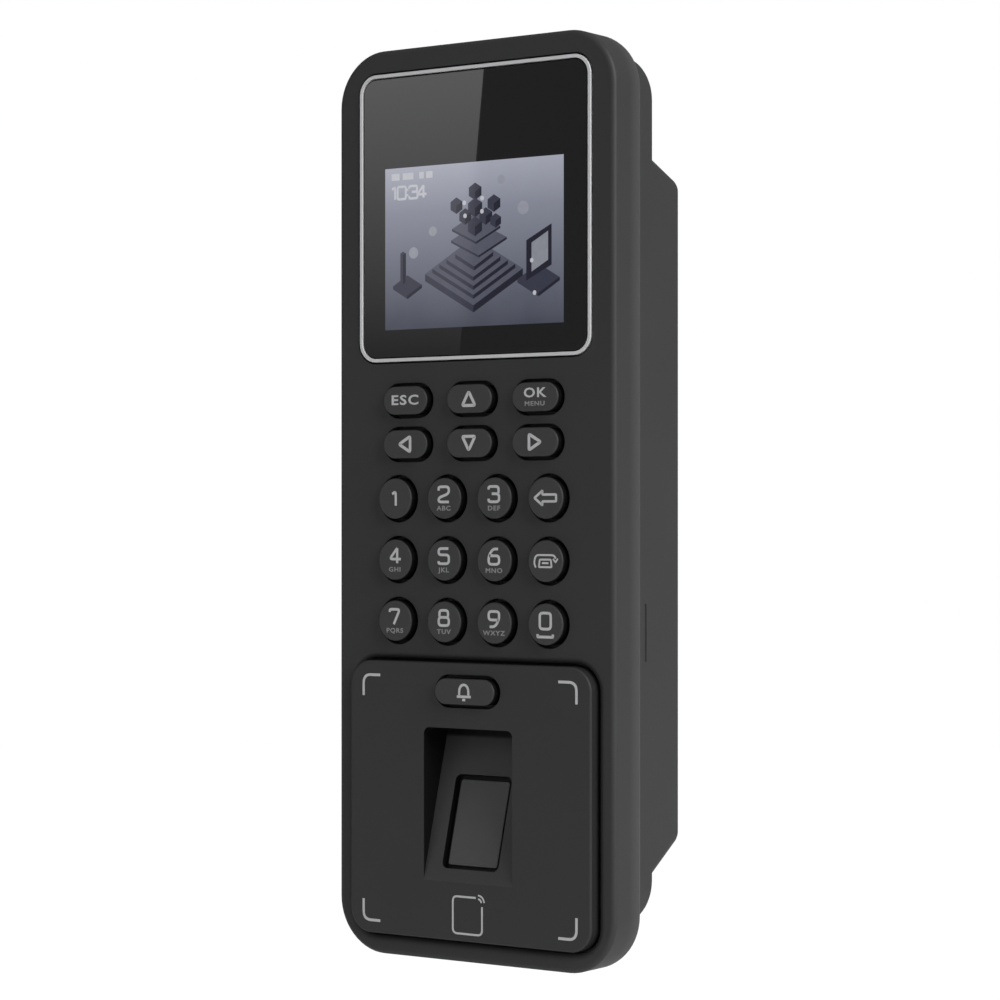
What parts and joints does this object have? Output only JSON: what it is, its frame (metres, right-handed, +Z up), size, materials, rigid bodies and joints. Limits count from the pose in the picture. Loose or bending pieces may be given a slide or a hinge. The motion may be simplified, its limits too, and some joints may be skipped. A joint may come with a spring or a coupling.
{
  "type": "fingerprint scanner terminal",
  "caption": "Slim upright wall terminal with a colour display, menu and number keys, a bell key, a card reader and a fingerprint sensor in a sloping finger recess.",
  "frame": {"origin": "centre of the wall plate's back face, which is also the centre of the body in X and Z", "axes": "+Z up along the body's length, +Y into the wall, the front looks along -Y, +X to the right seen from the front"},
  "size_m": [0.0756, 0.0349, 0.2062],
  "materials": {
    "case_plastic": "fine matte moulded texture",
    "key_plastic": "matte moulded",
    "trim_silver": "satin",
    "window_glass": "smoked and polished",
    "sensor_glass": "frosted dark",
    "inner_black": "moulded",
    "foam": "closed-cell foam",
    "silicone": "moulded silicone",
    "seal_rubber": "moulded",
    "circuit_board": "solder mask",
    "shield_metal": "tinned",
    "plate_steel": "zinc plated",
    "screw_steel": "plated",
    "connector_white": "moulded nylon",
    "flex_amber": "polyimide film"
  },
  "bodies": {
    "terminal": {"front_cover": "case_plastic", "rear_cover": "case_plastic", "reader_panel": "case_plastic", "screen_trim": "trim_silver", "screen_window": "window_glass", "sensor_glass": "sensor_glass", "lcd_bracket": "inner_black", "buzzer": "inner_black", "tamper_switch": "inner_black", "sensor_housing": "inner_black", "lcd_gasket": "foam", "keypad_mat": "silicone", "seam_seal": "seal_rubber", "keypad_board": "circuit_board", "bell_board": "circuit_board", "main_board": "circuit_board", "card_antenna": "circuit_board", "sensor_board": "circuit_board", "lcd_module": "shield_metal", "processor_shield": "shield_metal", "clock_battery": "shield_metal", "wall_plate": "plate_steel", "case_screw_1": "screw_steel", "case_screw_2": "screw_steel", "case_screw_3": "screw_steel", "case_screw_4": "screw_steel", "board_screw_1": "screw_steel", "board_screw_2": "screw_steel", "board_screw_3": "screw_steel", "board_screw_4": "screw_steel", "fixing_screw": "screw_steel", "wiring_header": "connector_white", "network_header": "connector_white", "power_header": "connector_white", "lcd_flex": "flex_amber", "keypad_cable": "flex_amber", "sensor_cable": "flex_amber"},
    "key_esc": {"key_esc": "key_plastic"},
    "key_up": {"key_up": "key_plastic"},
    "key_ok": {"key_ok": "key_plastic"},
    "key_left": {"key_left": "key_plastic"},
    "key_down": {"key_down": "key_plastic"},
    "key_right": {"key_right": "key_plastic"},
    "key_0": {"key_0": "key_plastic"},
    "key_1": {"key_1": "key_plastic"},
    "key_2": {"key_2": "key_plastic"},
    "key_3": {"key_3": "key_plastic"},
    "key_4": {"key_4": "key_plastic"},
    "key_5": {"key_5": "key_plastic"},
    "key_6": {"key_6": "key_plastic"},
    "key_7": {"key_7": "key_plastic"},
    "key_8": {"key_8": "key_plastic"},
    "key_9": {"key_9": "key_plastic"},
    "key_back": {"key_back": "key_plastic"},
    "key_input": {"key_input": "key_plastic"},
    "key_bell": {"key_bell": "key_plastic"},
    "tamper_plunger": {"tamper_plunger": "key_plastic"}
  },
  "joints": [
    {"name": "press_key_esc", "type": "slide", "parent": "terminal", "child": "key_esc", "axis": [0, 1, 0], "range_m": [0, 0.0007], "stiffness_N_per_m": 1500},
    {"name": "press_key_up", "type": "slide", "parent": "terminal", "child": "key_up", "axis": [0, 1, 0], "range_m": [0, 0.0007], "stiffness_N_per_m": 1500},
    {"name": "press_key_ok", "type": "slide", "parent": "terminal", "child": "key_ok", "axis": [0, 1, 0], "range_m": [0, 0.0007], "stiffness_N_per_m": 1500},
    {"name": "press_key_left", "type": "slide", "parent": "terminal", "child": "key_left", "axis": [0, 1, 0], "range_m": [0, 0.0007], "stiffness_N_per_m": 1500},
    {"name": "press_key_down", "type": "slide", "parent": "terminal", "child": "key_down", "axis": [0, 1, 0], "range_m": [0, 0.0007], "stiffness_N_per_m": 1500},
    {"name": "press_key_right", "type": "slide", "parent": "terminal", "child": "key_right", "axis": [0, 1, 0], "range_m": [0, 0.0007], "stiffness_N_per_m": 1500},
    {"name": "press_key_0", "type": "slide", "parent": "terminal", "child": "key_0", "axis": [0, 1, 0], "range_m": [0, 0.0007], "stiffness_N_per_m": 1500},
    {"name": "press_key_1", "type": "slide", "parent": "terminal", "child": "key_1", "axis": [0, 1, 0], "range_m": [0, 0.0007], "stiffness_N_per_m": 1500},
    {"name": "press_key_2", "type": "slide", "parent": "terminal", "child": "key_2", "axis": [0, 1, 0], "range_m": [0, 0.0007], "stiffness_N_per_m": 1500},
    {"name": "press_key_3", "type": "slide", "parent": "terminal", "child": "key_3", "axis": [0, 1, 0], "range_m": [0, 0.0007], "stiffness_N_per_m": 1500},
    {"name": "press_key_4", "type": "slide", "parent": "terminal", "child": "key_4", "axis": [0, 1, 0], "range_m": [0, 0.0007], "stiffness_N_per_m": 1500},
    {"name": "press_key_5", "type": "slide", "parent": "terminal", "child": "key_5", "axis": [0, 1, 0], "range_m": [0, 0.0007], "stiffness_N_per_m": 1500},
    {"name": "press_key_6", "type": "slide", "parent": "terminal", "child": "key_6", "axis": [0, 1, 0], "range_m": [0, 0.0007], "stiffness_N_per_m": 1500},
    {"name": "press_key_7", "type": "slide", "parent": "terminal", "child": "key_7", "axis": [0, 1, 0], "range_m": [0, 0.0007], "stiffness_N_per_m": 1500},
    {"name": "press_key_8", "type": "slide", "parent": "terminal", "child": "key_8", "axis": [0, 1, 0], "range_m": [0, 0.0007], "stiffness_N_per_m": 1500},
    {"name": "press_key_9", "type": "slide", "parent": "terminal", "child": "key_9", "axis": [0, 1, 0], "range_m": [0, 0.0007], "stiffness_N_per_m": 1500},
    {"name": "press_key_back", "type": "slide", "parent": "terminal", "child": "key_back", "axis": [0, 1, 0], "range_m": [0, 0.0007], "stiffness_N_per_m": 1500},
    {"name": "press_key_input", "type": "slide", "parent": "terminal", "child": "key_input", "axis": [0, 1, 0], "range_m": [0, 0.0007], "stiffness_N_per_m": 1500},
    {"name": "press_key_bell", "type": "slide", "parent": "terminal", "child": "key_bell", "axis": [0, 1, 0], "range_m": [0, 0.0007], "stiffness_N_per_m": 1500},
    {"name": "press_tamper_plunger", "type": "slide", "parent": "terminal", "child": "tamper_plunger", "axis": [0, -1, 0], "range_m": [0, 0.0008], "stiffness_N_per_m": 600}
  ]
}
